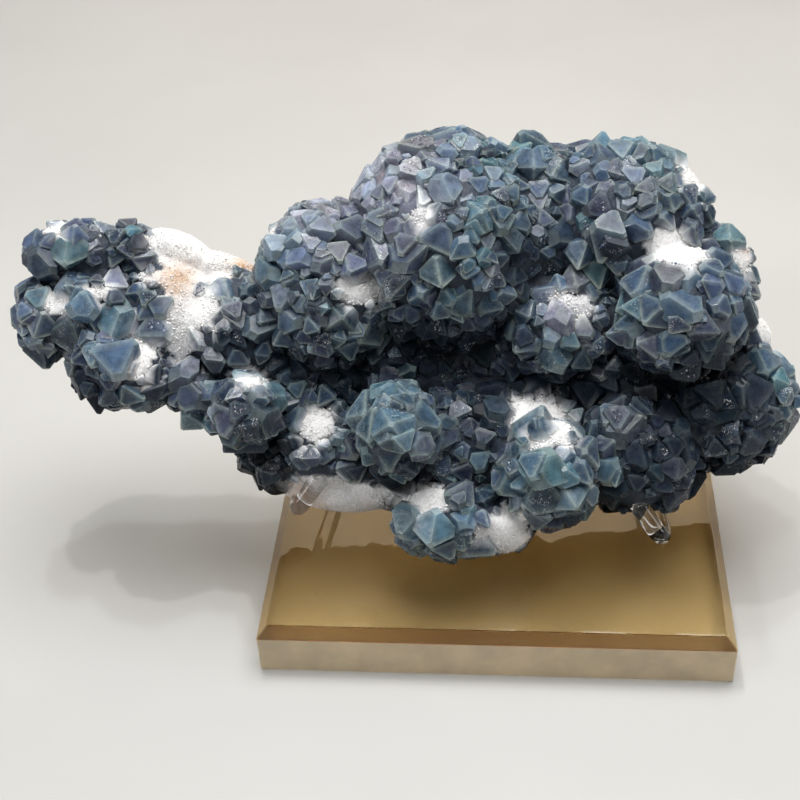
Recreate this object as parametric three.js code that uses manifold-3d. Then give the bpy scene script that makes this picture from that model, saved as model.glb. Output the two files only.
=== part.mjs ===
// Cluster of fluorite octahedra on white matrix, leaning back on a bevelled acrylic stand.
// Millimetres, +Z up. The origin is the centre of the base's underside, and the front faces -Y.
import * as THREE from "three";
import { ConvexGeometry } from "three/addons/geometries/ConvexGeometry.js";
import { mergeVertices } from "three/addons/utils/BufferGeometryUtils.js";
import Module from "manifold-3d";

const wasm = await Module();
wasm.setup();

// Base: a slab of 15 mm acrylic, five inches wide, with a bevel round its top
const baseWidth = 127;
const baseDepth = 90;
const baseThickness = 15;
const bevelInset = 2.7;
const bevelDrop = 2.8;

// Rods: 5 mm acrylic, heat-bent, set in blind holes in the base
const rodRadius = 2.5;
const rodSides = 8;
const bendSteps = 4;
const tipSwell = 1.02;
const holeDepth = 8;
const fitGap = 0.3;

// Places of the rods: foot on the base, then height and reach of the arms
const arms = [
  { name: "left_arm_rod", foot: [-50, 24], bend: [-55, -16.5], height: 31.5, inward: 1 },
  { name: "right_arm_rod", foot: [42, 24], bend: [45.9, -17.5], height: 24, inward: -1 },
];
const footBend = 7;
const tipBend = 4;
const tipOffset = { inward: 7, back: 3.5, up: 9.5 };
const propFoot = [-6, 37];
const propHeight = 50;
const propBend = 5;
const propLean = { forward: 7.5, up: 8.5 };

// The specimen's own frame: u to the right, v up its face, w out of its face.
// It sits in the stand leaning back, turned a little to the left and rolled a little clockwise.
const specimenCentre = [-26.2, 1.5, 57.5];
const leanBack = 38.4;
const turnLeft = 6;
const rollClockwise = 3.1;

// Lumps of the specimen, each an ellipsoid: centre and half sizes in u, v and w, roll in degrees
// about w, and the tip radius of the crystals on it. A lump with crystal 0 is bare matrix.
const lumps = [
  { name: "core", at: [20, 20, -14], half: [60, 31, 15], roll: 0, crystal: 6.5 },
  { name: "coreRight", at: [70, 9, -12], half: [28, 24, 16], roll: 0, crystal: 6.8 },
  { name: "coreLeft", at: [-28, 5, -11], half: [19, 17, 12], roll: -20, crystal: 6.2 },
  { name: "coreBottom", at: [-2, -20, -9], half: [16, 10, 10], roll: 0, crystal: 6.0 },
  { name: "dome", at: [10, 43, -4], half: [27.5, 31, 24], roll: 0, crystal: 6.0 },
  { name: "domeLeft", at: [-20.5, 31.5, -4], half: [19, 23, 20], roll: 0, crystal: 6.2 },
  { name: "saddle", at: [39, 47, -8], half: [17, 23, 18], roll: 0, crystal: 6.2 },
  { name: "domeRight", at: [61, 49, -6], half: [24, 22.5, 20], roll: -8, crystal: 6.6 },
  { name: "lobe", at: [75, 23.5, 8], half: [18, 17, 19], roll: 0, crystal: 8.2 },
  { name: "lobeShoulder", at: [86, 36, -3], half: [10, 13, 12], roll: 20, crystal: 6.8 },
  { name: "farRight", at: [88, 0, -6], half: [19.5, 19, 17], roll: 0, crystal: 7.6 },
  { name: "lowRight", at: [65, -14, -5], half: [18, 18, 17], roll: 0, crystal: 7.6 },
  { name: "centreLow", at: [25, -11, -8], half: [30, 17, 15], roll: 0, crystal: 6.6 },
  { name: "middle", at: [43, 21, -1], half: [17, 14, 12], roll: 0, crystal: 6.6 },
  { name: "tealBulge", at: [40, -20, 6], half: [12.5, 14.5, 13], roll: 0, crystal: 8.0 },
  { name: "centreBulge", at: [-1, -8.5, 8], half: [10.5, 11.5, 13], roll: 0, crystal: 8.0 },
  { name: "bottomBulge", at: [14, -32, 0], half: [16, 9.5, 12], roll: 4, crystal: 7.0 },
  { name: "lowLeft", at: [-21.5, -12, -7], half: [14, 13, 12], roll: 0, crystal: 6.8 },
  { name: "bottomLedge", at: [-17, -24.5, -11], half: [17, 6.5, 8], roll: -6, crystal: 0 },
  { name: "knob", at: [-40.5, -3, 6], half: [9.5, 9.5, 10], roll: 0, crystal: 7.4 },
  { name: "knobLink", at: [-35, -14, -8], half: [10, 9, 9], roll: -35, crystal: 6.2 },
  { name: "armRoot", at: [-45.5, 19.5, -6], half: [16, 16, 14], roll: 0, crystal: 6.6 },
  { name: "armLink", at: [-54, 2, -6], half: [14, 8, 11], roll: -30, crystal: 6.4 },
  { name: "armMiddle", at: [-64, 24, -7], half: [15, 17, 12], roll: 20, crystal: 6.4 },
  { name: "armSlab", at: [-63, 41, -8], half: [11, 7, 8], roll: -36, crystal: 0 },
  { name: "armLow", at: [-76, 9, -1], half: [14, 10.5, 12], roll: -20, crystal: 7.6 },
  { name: "armCentre", at: [-83, 25, -5], half: [14, 13, 12], roll: 0, crystal: 7.6 },
  { name: "armTop", at: [-88, 40, -4], half: [14, 8.5, 10], roll: 0, crystal: 6.6 },
  { name: "armEnd", at: [-97, 23, -4], half: [8, 10.5, 9.5], roll: 10, crystal: 7.0 },
];

// White spots left bare of crystals: centre in u and v, and radius
const bareSpots = [
  [-60, 40.5, 8], [-56, 25, 6.5], [-70, 11, 4.5], [-94, 47, 3.5], [-41, 5, 4], [-23, -7, 4],
  [-11.5, 28, 4.5], [44.5, 24, 4.5], [69, 37.5, 6.5], [79.5, 60, 4], [92.5, 39, 4],
  [104, 16.5, 5], [8, -27.5, 4], [27, -36.5, 6], [38, -10, 3.5], [-27, -24, 6], [66, -31, 6],
];

// How the crystals grow
const spacingPerRadius = 1.7;
const turnSpread = 0.8;
const sizeSpread = 0.5;
const squashSpread = 0.16;
const leastLean = 22;
const leanSpread = 38;
const sinkPerRadius = 0.38;
const buriedLevel = 0.88;
const backLimit = -0.05;
const grain = new THREE.Vector3(0.31, 0.95, 0.05);
const seedsPerLump = 512;
const drawsPerCrystal = 8;

// Facets of the lumps under the crystals, swollen so that their flats reach the lump's true size
const lumpDetail = 1;
const lumpSwell = 1.07;

// Broken back: depth of its mean plane, height and share of its ledges, its waves as
// [height, turns per mm along u, along v, phase], and the block and grid that cut it
const backDepth = -20;
const ledgeStep = 1.5;
const ledgeShare = 0.7;
const backWaves = [[2.2, 0.055, 0.04, 0], [1.4, -0.06, 0.11, 1.3], [0.9, 0.19, 0.13, 0.5]];
const backSize = [260, 150, 60];
const backGrid = [15, 8];
const backCentre = [0, 20];

// Material finish of each piece
const fluoriteGrey = { color: 0x46566a, roughness: 0.35, metalness: 0 };
const amberAcrylic = { color: 0xb79c72, roughness: 0.08, metalness: 0, transparent: true, opacity: 0.6 };
const clearAcrylic = { color: 0xdfe6e6, roughness: 0.06, metalness: 0, transparent: true, opacity: 0.4 };

// A closed three.js geometry as a solid that can be joined and cut
function solidOf(geometry) {
  const shell = geometry.clone();
  shell.deleteAttribute("normal");
  shell.deleteAttribute("uv");
  const merged = mergeVertices(shell, 1e-4);
  return new wasm.Manifold(new wasm.Mesh({
    numProp: 3,
    vertProperties: new Float32Array(merged.attributes.position.array),
    triVerts: new Uint32Array(merged.index.array),
  }));
}

function geometryOf(solid) {
  const mesh = solid.getMesh();
  const geometry = new THREE.BufferGeometry();
  geometry.setAttribute("position", new THREE.BufferAttribute(mesh.vertProperties, 3));
  geometry.setIndex(new THREE.BufferAttribute(mesh.triVerts, 1));
  return geometry;
}

function piece(name, solid, finish) {
  const geometry = geometryOf(solid).toNonIndexed();
  geometry.computeVertexNormals();
  const mesh = new THREE.Mesh(geometry, new THREE.MeshStandardMaterial(finish));
  mesh.name = name;
  return mesh;
}

// Repeatable number from 0 to 1 for a whole number
function chance(seed) {
  let h = Math.imul(seed ^ (seed >>> 16), 0x45d9f3b);
  h = Math.imul(h ^ (h >>> 16), 0x45d9f3b);
  return ((h ^ (h >>> 16)) >>> 0) / 2 ** 32;
}

// Path of a rod through corner points, with each inner corner rounded to its own radius
function bentPath(corners, radii) {
  const points = corners.map((c) => new THREE.Vector3(...c));
  const path = [points[0]];
  for (let i = 1; i < points.length - 1; i++) {
    const before = points[i - 1].clone().sub(points[i]).normalize();
    const after = points[i + 1].clone().sub(points[i]).normalize();
    const halfAngle = before.angleTo(after) / 2;
    const run = radii[i - 1] / Math.tan(halfAngle);
    const arc = new THREE.QuadraticBezierCurve3(
      points[i].clone().addScaledVector(before, run),
      points[i],
      points[i].clone().addScaledVector(after, run),
    );
    path.push(...arc.getPoints(bendSteps));
  }
  path.push(points[points.length - 1]);
  return path;
}

// Curve made of straight runs between given points, so that each point gets one section
class PointRun extends THREE.Curve {
  constructor(points) {
    super();
    this.points = points;
  }
  getPoint(t) {
    const place = t * (this.points.length - 1);
    const i = Math.min(Math.floor(place), this.points.length - 2);
    return this.points[i].clone().lerp(this.points[i + 1], place - i);
  }
  getPointAt(t) {
    return this.getPoint(t);
  }
  getTangentAt(t) {
    const step = 0.5 / (this.points.length - 1);
    const ahead = this.getPoint(Math.min(1, t + step));
    return ahead.sub(this.getPoint(Math.max(0, t - step))).normalize();
  }
}

// Round rod of a given radius along the points, with a ball at its free end
function rod(points, radius) {
  const circle = new THREE.EllipseCurve(0, 0, radius, radius).getPoints(rodSides);
  const section = new THREE.Shape(circle.slice(0, rodSides));
  const tube = new THREE.ExtrudeGeometry(section, {
    steps: points.length - 1,
    extrudePath: new PointRun(points),
  });
  const end = points[points.length - 1];
  const ball = new THREE.SphereGeometry(radius * tipSwell, rodSides, rodSides / 2);
  ball.translate(end.x, end.y, end.z);
  return solidOf(tube).add(solidOf(ball));
}

// An arm: up from its hole, forward under the specimen, and up and in at the tip
function armPoints(arm) {
  const holeBottom = baseThickness - holeDepth + fitGap;
  const tip = [
    arm.bend[0] + arm.inward * tipOffset.inward,
    arm.bend[1] + tipOffset.back,
    arm.height + tipOffset.up,
  ];
  const corners = [
    [...arm.foot, holeBottom],
    [...arm.foot, arm.height],
    [...arm.bend, arm.height],
    tip,
  ];
  return bentPath(corners, [footBend, tipBend]);
}

// The prop: straight up behind the specimen, with its tip bent forward under the back
function propPoints() {
  const [x, y] = propFoot;
  const corners = [
    [x, y, baseThickness - holeDepth + fitGap],
    [x, y, propHeight],
    [x, y - propLean.forward, propHeight + propLean.up],
  ];
  return bentPath(corners, [propBend]);
}

function baseSolid() {
  const rectangle = (width, depth, z) => [
    new THREE.Vector3(-width / 2, -depth / 2, z),
    new THREE.Vector3(width / 2, -depth / 2, z),
    new THREE.Vector3(width / 2, depth / 2, z),
    new THREE.Vector3(-width / 2, depth / 2, z),
  ];
  let slab = solidOf(new ConvexGeometry([
    ...rectangle(baseWidth, baseDepth, 0),
    ...rectangle(baseWidth, baseDepth, baseThickness - bevelDrop),
    ...rectangle(baseWidth - 2 * bevelInset, baseDepth - 2 * bevelInset, baseThickness),
  ]));
  for (const [x, y] of [...arms.map((arm) => arm.foot), propFoot]) {
    const holeRadius = rodRadius + fitGap;
    const hole = new THREE.CylinderGeometry(holeRadius, holeRadius, 2 * holeDepth, rodSides);
    hole.rotateX(Math.PI / 2);
    hole.translate(x, y, baseThickness);
    slab = slab.subtract(solidOf(hole));
  }
  return slab;
}

// Matrix that takes a point of the specimen's own frame to its place on the stand
function leaningFrame() {
  const pitch = THREE.MathUtils.degToRad(leanBack);
  const yaw = THREE.MathUtils.degToRad(turnLeft);
  const roll = THREE.MathUtils.degToRad(rollClockwise);
  const away = new THREE.Vector3(
    -Math.cos(pitch) * Math.sin(yaw),
    Math.cos(pitch) * Math.cos(yaw),
    -Math.sin(pitch),
  );
  const level = new THREE.Vector3(Math.cos(yaw), Math.sin(yaw), 0);
  const right = level.applyAxisAngle(away, roll);
  const out = away.negate();
  const up = new THREE.Vector3().crossVectors(out, right);
  return new THREE.Matrix4().makeBasis(right, up, out).setPosition(...specimenCentre);
}

// How far a point is from a lump's centre, as a share of the way to its surface, squared
function lumpLevel(lump, point) {
  const roll = THREE.MathUtils.degToRad(lump.roll);
  const du = point.x - lump.at[0];
  const dv = point.y - lump.at[1];
  const along = (du * Math.cos(roll) + dv * Math.sin(roll)) / lump.half[0];
  const across = (dv * Math.cos(roll) - du * Math.sin(roll)) / lump.half[1];
  const out = (point.z - lump.at[2]) / lump.half[2];
  return along ** 2 + across ** 2 + out ** 2;
}

function lumpMatrix(lump) {
  return new THREE.Matrix4()
    .makeRotationZ(THREE.MathUtils.degToRad(lump.roll))
    .scale(new THREE.Vector3(...lump.half))
    .setPosition(...lump.at);
}

// Depth of the broken back at a place: a sum of waves, most of it rounded to ledges
function backLevel(u, v) {
  const wave = backWaves.reduce(
    (sum, [height, alongU, alongV, phase]) => sum + height * Math.sin(alongU * u + alongV * v + phase),
    0,
  );
  const ledges = ledgeStep * Math.round(wave / ledgeStep);
  return backDepth + ledgeShare * ledges + (1 - ledgeShare) * wave;
}

// Block behind the specimen whose front is the broken back
function backCutter() {
  const block = new THREE.BoxGeometry(...backSize, ...backGrid, 1);
  const place = block.attributes.position;
  for (let i = 0; i < place.count; i++) {
    const u = place.getX(i) + backCentre[0];
    const v = place.getY(i) + backCentre[1];
    const w = place.getZ(i) > 0 ? backLevel(u, v) : backDepth - backSize[2];
    place.setXYZ(i, u, v, w);
  }
  return solidOf(block);
}

// Centres, sizes and directions of the crystals on one lump, spread by the golden angle
function crystalsOn(lump, index) {
  const meanHalf = (lump.half[0] + lump.half[1] + lump.half[2]) / 3;
  const spacing = lump.crystal * spacingPerRadius;
  const count = lump.crystal ? Math.round((4 * Math.PI * meanHalf ** 2) / spacing ** 2) : 0;
  const goldenAngle = Math.PI * (3 - Math.sqrt(5));
  const place = lumpMatrix(lump);
  const normalMatrix = new THREE.Matrix3().getNormalMatrix(place);
  const found = [];
  for (let j = 0; j < count; j++) {
    const draw = (k) => chance((index * seedsPerLump + j) * drawsPerCrystal + k);
    const z = 1 - (2 * j + 1) / count;
    const turn = j * goldenAngle + turnSpread * (draw(0) - 0.5);
    const ring = Math.sqrt(1 - z * z);
    const onSphere = new THREE.Vector3(ring * Math.cos(turn), ring * Math.sin(turn), z);
    const normal = onSphere.clone().applyMatrix3(normalMatrix).normalize();
    const radius = lump.crystal * (1 + sizeSpread * (draw(1) - 0.5));
    const at = onSphere.applyMatrix4(place).addScaledVector(normal, -sinkPerRadius * radius);
    if (normal.z < backLimit || at.z < backLevel(at.x, at.y)) continue;
    if (lumps.some((other) => other !== lump && lumpLevel(other, at) < buriedLevel)) continue;
    if (normal.z > 0 && bareSpots.some(([u, v, r]) => Math.hypot(at.x - u, at.y - v) < r)) continue;
    found.push({ at, normal, radius, lean: draw(2), side: draw(3), spin: draw(4), squash: draw(5) });
  }
  return found;
}

// One octahedron, with a corner leaning out of the surface that it grows from
function crystalSolid({ at, normal, radius, lean, side, spin, squash }) {
  const across = grain.clone().cross(normal).normalize();
  const along = new THREE.Vector3().crossVectors(normal, across);
  const leanAngle = THREE.MathUtils.degToRad(leastLean + leanSpread * lean);
  const c = across.clone().multiplyScalar(Math.cos(2 * Math.PI * side))
    .addScaledVector(along, Math.sin(2 * Math.PI * side))
    .multiplyScalar(Math.sin(leanAngle))
    .addScaledVector(normal, Math.cos(leanAngle));
  const start = across.clone().addScaledVector(c, -across.dot(c)).normalize();
  const a = start.clone().applyAxisAngle(c, 2 * Math.PI * spin);
  const b = new THREE.Vector3().crossVectors(c, a);
  const shape = new THREE.OctahedronGeometry(1, 0);
  shape.applyMatrix4(new THREE.Matrix4().makeBasis(
    a.multiplyScalar(radius * (1 + squashSpread * (squash - 0.5))),
    b.multiplyScalar(radius * (1 - squashSpread * (squash - 0.5))),
    c.multiplyScalar(radius),
  ).setPosition(at));
  return solidOf(shape);
}

// Joins a list of solids two by two
function joinAll(solids) {
  let level = solids;
  while (level.length > 1) {
    const next = [];
    for (let i = 0; i < level.length; i += 2) {
      next.push(i + 1 < level.length ? level[i].add(level[i + 1]) : level[i]);
    }
    level = next;
  }
  return level[0];
}

// The outer shell of a solid, with the closed pockets between crystals filled
function outerShell(solid) {
  const shells = solid.decompose();
  return shells.reduce((largest, shell) => (shell.volume() > largest.volume() ? shell : largest));
}

function specimenSolid() {
  const rock = joinAll(lumps.map((lump) => {
    const ball = new THREE.OctahedronGeometry(lumpSwell, lumpDetail);
    return solidOf(ball.applyMatrix4(lumpMatrix(lump)));
  }));
  const crystals = joinAll(lumps.flatMap(crystalsOn).map(crystalSolid));
  const grown = geometryOf(rock.subtract(backCutter()).add(crystals));
  let stood = solidOf(grown.applyMatrix4(leaningFrame()));
  for (const arm of arms) stood = stood.subtract(rod(armPoints(arm), rodRadius + fitGap));
  return outerShell(stood.subtract(rod(propPoints(), rodRadius + fitGap)));
}

const part = new THREE.Group();
part.add(piece("acrylic_base", baseSolid(), amberAcrylic));
for (const arm of arms) part.add(piece(arm.name, rod(armPoints(arm), rodRadius), clearAcrylic));
part.add(piece("back_prop_rod", rod(propPoints(), rodRadius), clearAcrylic));
part.add(piece("fluorite_specimen", specimenSolid(), fluoriteGrey));

export default part;
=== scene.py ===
# Cluster of fluorite octahedra on white matrix, leaning back on a bevelled acrylic stand.
# Blender works in metres. The dictionaries hold millimetres, and mm turns them into metres.
import itertools
import math

import bpy
import numpy as np
from mathutils import Matrix, Vector


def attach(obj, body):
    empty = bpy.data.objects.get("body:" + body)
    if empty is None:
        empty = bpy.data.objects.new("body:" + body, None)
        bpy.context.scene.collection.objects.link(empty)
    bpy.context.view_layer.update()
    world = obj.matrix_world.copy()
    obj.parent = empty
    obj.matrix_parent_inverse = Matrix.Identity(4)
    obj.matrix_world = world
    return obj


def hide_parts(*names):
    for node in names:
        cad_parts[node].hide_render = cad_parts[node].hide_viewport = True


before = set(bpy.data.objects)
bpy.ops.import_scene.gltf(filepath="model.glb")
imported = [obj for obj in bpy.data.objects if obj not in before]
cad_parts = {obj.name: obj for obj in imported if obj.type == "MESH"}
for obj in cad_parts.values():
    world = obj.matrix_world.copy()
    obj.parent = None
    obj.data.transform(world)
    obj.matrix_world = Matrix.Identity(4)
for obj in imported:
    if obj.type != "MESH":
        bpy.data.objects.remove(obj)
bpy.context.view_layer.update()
mm = 0.001

# How the specimen sits: its own frame has u to the right, v up its face and w out of its face
seat = {
    "centre": (-26.2, 1.5, 57.5),
    "leanBack": 38.4,        # degrees
    "turnLeft": 6.0,
    "rollClockwise": 3.1,
}

# Lumps of the specimen: centre u v w, half sizes, roll in degrees, tip radius of the crystals (0 is bare)
lumps = {
    "core": (20, 20, -14, 60, 31, 15, 0, 5.2),
    "coreRight": (70, 9, -12, 28, 24, 16, 0, 6),
    "coreLeft": (-28, 5, -11, 19, 17, 12, -20, 5.4),
    "coreBottom": (-2, -20, -9, 16, 10, 10, 0, 5.4),
    "dome": (13, 43, -4, 28, 30, 24, 0, 5.9),
    "domeLeft": (-20.5, 31.5, -4, 19, 23, 20, 0, 5.7),
    "saddle": (36, 48, -8, 19, 22.5, 18, 0, 5.9),
    "domeRight": (61, 49, -6, 24, 22.5, 20, -8, 6.2),
    "lobe": (75, 23.5, 8, 18, 17, 19, 0, 7.6),
    "lobeShoulder": (86, 36, -3, 10, 13, 12, 20, 6),
    "farRight": (88, 0, -6, 19.5, 19, 17, 0, 6.8),
    "rightLedge": (94.5, 17, -6, 7.5, 7, 8, 0, 0),
    "lowRight": (65, -14, -5, 18, 18, 17, 0, 6.5),
    "centreLow": (25, -11, -8, 30, 17, 15, 0, 5.8),
    "middle": (43, 21, -1, 17, 14, 12, 0, 6),
    "tealBulge": (40, -20, 6, 12.5, 14.5, 13, 0, 7.2),
    "centreBulge": (-1, -8.5, 8, 10.5, 11.5, 13, 0, 7.4),
    "bottomBulge": (14, -32, 0, 16, 9.5, 12, 4, 6.4),
    "bottomRight": (27.5, -33, -1, 9, 8.5, 10, 0, 5.4),
    "lowLeft": (-21.5, -12, -7, 14, 13, 12, 0, 5.6),
    "bottomLedge": (-17, -24.5, -11, 17, 6.5, 8, -6, 0),
    "knob": (-40.5, -3, 6, 9.5, 9.5, 10, 0, 7),
    "knobLink": (-35, -14, -8, 10, 9, 9, -35, 5.4),
    "armRoot": (-45.5, 19.5, -6, 16, 16, 14, 0, 5.8),
    "armLink": (-54, 2, -6, 14, 8, 11, -30, 5.6),
    "armMiddle": (-64, 24, -7, 15, 17, 12, 20, 5.8),
    "armSlab": (-61, 41, -7, 10.5, 5.2, 7, -24, 0),
    "armSlabTip": (-49, 36.5, -8, 10, 4.2, 7, -16, 0),
    "armLow": (-76, 9, -1, 14, 10.5, 12, -20, 6.8),
    "armCentre": (-83, 25, -5, 14, 13, 12, 0, 6.6),
    "armTop": (-88, 40, -4, 14, 8.5, 10, 0, 6.2),
    "armTopRight": (-74, 41.5, -5, 8, 6.5, 8, 0, 5.4),
    "armEnd": (-97, 23, -4, 8, 10.5, 9.5, 10, 6.2),
}
lumpTable = np.array(list(lumps.values()), float)
lumpAt, lumpHalf = lumpTable[:, :3], lumpTable[:, 3:6]
lumpRoll, lumpTip = np.radians(lumpTable[:, 6]), lumpTable[:, 7]

# White sugary patches on the front: centre u v, half sizes, roll in degrees
patches = [
    (-58, 39, 12, 5, -24), (-60, 33, 9, 2.4, 0), (-56.5, 25, 7, 6, -10), (-59.5, 15, 2.6, 4, 0),
    (-82, 28.5, 5, 1.8, 10), (-94, 47, 4, 2.2, -10), (-91, 27, 3.6, 4, 0),
    (-70, 11, 4, 5.2, 0), (-41, 6, 5, 2.2, -5), (-23, -7, 4.6, 4, 0), (-11.5, 28.5, 5, 3.6, -10),
    (5.4, 47.6, 1.9, 2.2, 0), (-36.7, 45.7, 2.2, 2.4, 0), (45.4, 25, 4.6, 3.6, 0), (71.5, 40, 7, 4.6, -8),
    (79, 60.5, 3.6, 3.2, -40), (91.5, 39, 3.2, 4.2, 0), (103.5, 16.5, 3.6, 5, 10), (38, -6, 8, 6, 0),
    (7.6, -27, 7, 3.6, 12), (28, -35.5, 6.6, 5.6, 0), (-18, -26, 14, 4.4, -6),
]
# Their ragged edge: waves as height, size and seed, and the levels between which a patch ends
patchEdge = {"waves": ((0.5, 3.1, 5), (0.35, 1.3, 6)), "fade": (0.75, 1.25)}
# Yellow-brown stains: centre u v and radius
stains = [(-60.4, 32.5, 5), (-10.3, 66, 7), (-42, 37, 4.5), (94, 42, 3.5), (-27, -28, 5), (60, 66, 6)]
# Zones where the crystals are teal, and where they are pale lilac
tealZones = [
    (39.5, -8, 9), (15, 30, 6), (38, -22, 10), (8, -33, 9), (22, 47, 7), (-10, 20, 8),
    (-91, 26, 5), (-1, -4, 9), (70, 62, 9), (104, 6, 8), (60, 24, 6), (-38, 36, 7), (30, 66, 10),
]
lilacZones = [(-4, 58, 15), (-24, 50, 9), (46, 22, 5)]
# Zones of painted shade, where the crystals are darkest
paintedShadeZones = [
    (90, 0, 20), (66, -13, 18), (22, -2, 13), (30, 3, 12), (-32, -14, 10), (54, 5, 11),
    (-84, 6, 8), (-45, 16, 9), (30, 40, 9), (8, 18, 8), (-40, -5, 4.5),
]

# Painted shade in hollows that a lump overhangs: how far above them it is looked for, the levels
# between which the painted shade ends, how fast it sets in and how dark it gets
paintedCaveShade = {"reach": (6, 11, 17, 24), "fade": (0.8, 1.2), "power": 0.7, "dark": 0.95}

# Broken back: depth of its mean plane, height and share of its ledges, and its waves as
# height, radians per mm along u and along v, and phase
brokenBack = {
    "depth": -20,
    "ledgeStep": 1.5,
    "ledgeShare": 0.7,
    "waves": ((2.2, 0.055, 0.04, 0), (1.4, -0.06, 0.11, 1.3), (0.9, 0.19, 0.13, 0.5)),
}


def leaningAxes():
    # away = line of sight down the lean, right = a level line turned about it by the roll,
    # out = minus away, up = out x right; the rows are right, up and out
    pitch, yaw, roll = (math.radians(seat[k]) for k in ("leanBack", "turnLeft", "rollClockwise"))
    away = Vector((-math.cos(pitch) * math.sin(yaw), math.cos(pitch) * math.cos(yaw), -math.sin(pitch)))
    right = Matrix.Rotation(roll, 3, away) @ Vector((math.cos(yaw), math.sin(yaw), 0))
    return np.array([right, (-away).cross(right), -away])


seatAxes = leaningAxes()
seatCentre = np.array(seat["centre"])
straightUp = seatAxes[:, 2]   # the stand's upward direction, told in the seat's own frame


def onStand(points):
    # place on the stand = centre + u right + v up + w out
    return seatCentre + points @ seatAxes


def inSeat(points):
    # the way back: u, v, w = the offset from the centre measured along right, up and out
    return (points - seatCentre) @ seatAxes.T


def smoothStep(low, high, value):
    # 0 below low, 1 above high, and t t (3 - 2 t) between them
    t = np.clip((value - low) / (high - low), 0, 1)
    return t * t * (3 - 2 * t)


def unit(vectors):
    # each row divided by its length
    return vectors / np.linalg.norm(vectors, axis=1, keepdims=True)


def latticeNoise(points, size, seed):
    # random numbers on a lattice of the given size, blended between the eight corners of each cell;
    # a corner's number is its whole coordinates times large primes, mixed bit by bit
    cell = points / size
    low = np.floor(cell).astype(np.int64)
    part = smoothStep(0, 1, cell - low)
    total = np.zeros(len(points))
    for corner in itertools.product((0, 1), repeat=3):
        at = low + corner
        mixed = np.bitwise_xor.reduce(at * (73856093, 19349663, 83492791), axis=1) ^ (seed * 2654435761)
        mixed = ((mixed ^ (mixed >> 13)) * 1274126177) & 0xFFFFFFFF
        weight = np.prod(np.where(corner, part, 1 - part), axis=1)
        total += weight * ((mixed ^ (mixed >> 16)) & 0xFFFF) / 0xFFFF
    return total


def lumpLevels(points):
    # share of the way from each lump's centre to its surface, one column for each lump
    offset = points[:, None, :] - lumpAt
    c, s = np.cos(lumpRoll), np.sin(lumpRoll)
    along = (offset[..., 0] * c + offset[..., 1] * s) / lumpHalf[:, 0]
    across = (offset[..., 1] * c - offset[..., 0] * s) / lumpHalf[:, 1]
    return np.sqrt(along ** 2 + across ** 2 + (offset[..., 2] / lumpHalf[:, 2]) ** 2)


def backLevel(u, v):
    # sum of height sin(a u + b v + phase), most of it rounded to ledges
    wave = sum(h * np.sin(a * u + b * v + phase) for h, a, b, phase in brokenBack["waves"])
    step, share = brokenBack["ledgeStep"], brokenBack["ledgeShare"]
    return brokenBack["depth"] + share * step * np.round(wave / step) + (1 - share) * wave


def patchField(points, grow=0.0):
    # 1 inside a white patch, 0.5 at its edge, 0 well outside; the edge is warped by noise
    field = np.zeros(len(points))
    warp = 1
    for height, size, seed in patchEdge["waves"]:
        warp = warp + height * (latticeNoise(points, size, seed) - 0.5)
    for u, v, halfU, halfV, roll in patches:
        c, s = math.cos(math.radians(roll)), math.sin(math.radians(roll))
        du, dv = points[:, 0] - u, points[:, 1] - v
        level = np.hypot((du * c + dv * s) / (halfU + grow), (dv * c - du * s) / (halfV + grow))
        field = np.maximum(field, 1 - smoothStep(*patchEdge["fade"], level * warp))
    return field


def overhang(points):
    # share of the places at some reaches straight above each point that lie in or near a lump,
    # to a power under 1
    roofs = [lumpLevels(points + reach * straightUp).min(axis=1) for reach in paintedCaveShade["reach"]]
    return np.mean([1 - smoothStep(*paintedCaveShade["fade"], level) for level in roofs], axis=0) ** paintedCaveShade["power"]


def zoneField(points, zones):
    # bell-shaped weight round each zone's centre in u and v, the largest of them
    field = np.zeros(len(points))
    for u, v, radius in zones:
        square = ((points[:, 0] - u) ** 2 + (points[:, 1] - v) ** 2) / radius ** 2
        field = np.maximum(field, np.exp(-square))
    return field


def linear(code):
    # linear red, green and blue of a hexadecimal screen colour
    value = np.array([int(code[i:i + 2], 16) for i in (0, 2, 4)]) / 255
    return np.where(value <= 0.04045, value / 12.92, ((value + 0.055) / 1.055) ** 2.4)


def between(first, second, share):
    # first (1 - share) + second share
    return first * (1 - share) + second * share


def makeMesh(name, points, faceSets, floats=None, colours=None, smooth=False):
    # points in mm; each face set is an array with one row of vertex numbers for each face
    mesh = bpy.data.meshes.new(name)
    sizes = np.concatenate([np.full(len(f), f.shape[1]) for f in faceSets])
    corners = np.concatenate([f.ravel() for f in faceSets])
    mesh.vertices.add(len(points))
    mesh.vertices.foreach_set("co", (points * mm).astype(np.float32).ravel())
    mesh.loops.add(len(corners))
    mesh.loops.foreach_set("vertex_index", corners.astype(np.int32))
    mesh.polygons.add(len(sizes))
    mesh.polygons.foreach_set("loop_start", (np.cumsum(sizes) - sizes).astype(np.int32))
    mesh.polygons.foreach_set("use_smooth", np.full(len(sizes), smooth))
    for key, values in (floats or {}).items():
        mesh.attributes.new(key, "FLOAT", "POINT").data.foreach_set("value", values.astype(np.float32))
    for key, values in (colours or {}).items():
        rgba = np.concatenate([values, np.ones((len(values), 1))], axis=1).astype(np.float32)
        mesh.attributes.new(key, "FLOAT_COLOR", "POINT").data.foreach_set("color", rgba.ravel())
    mesh.update(calc_edges=True)
    mesh.validate()
    piece = bpy.data.objects.new(name, mesh)
    bpy.context.scene.collection.objects.link(piece)
    return piece


def ringWalls(rows, count, closed=False):
    # a quad between each two neighbours on a ring of count points and the same two on the next ring;
    # closed joins the last ring to the first
    i, j = np.meshgrid(np.arange(rows if closed else rows - 1), np.arange(count), indexing="ij")
    nextRow, nextPoint = (i + 1) % rows, (j + 1) % count
    corners = ((i, j), (i, nextPoint), (nextRow, nextPoint), (nextRow, j))
    return np.stack([row * count + point for row, point in corners], axis=-1).reshape(-1, 4)


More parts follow.
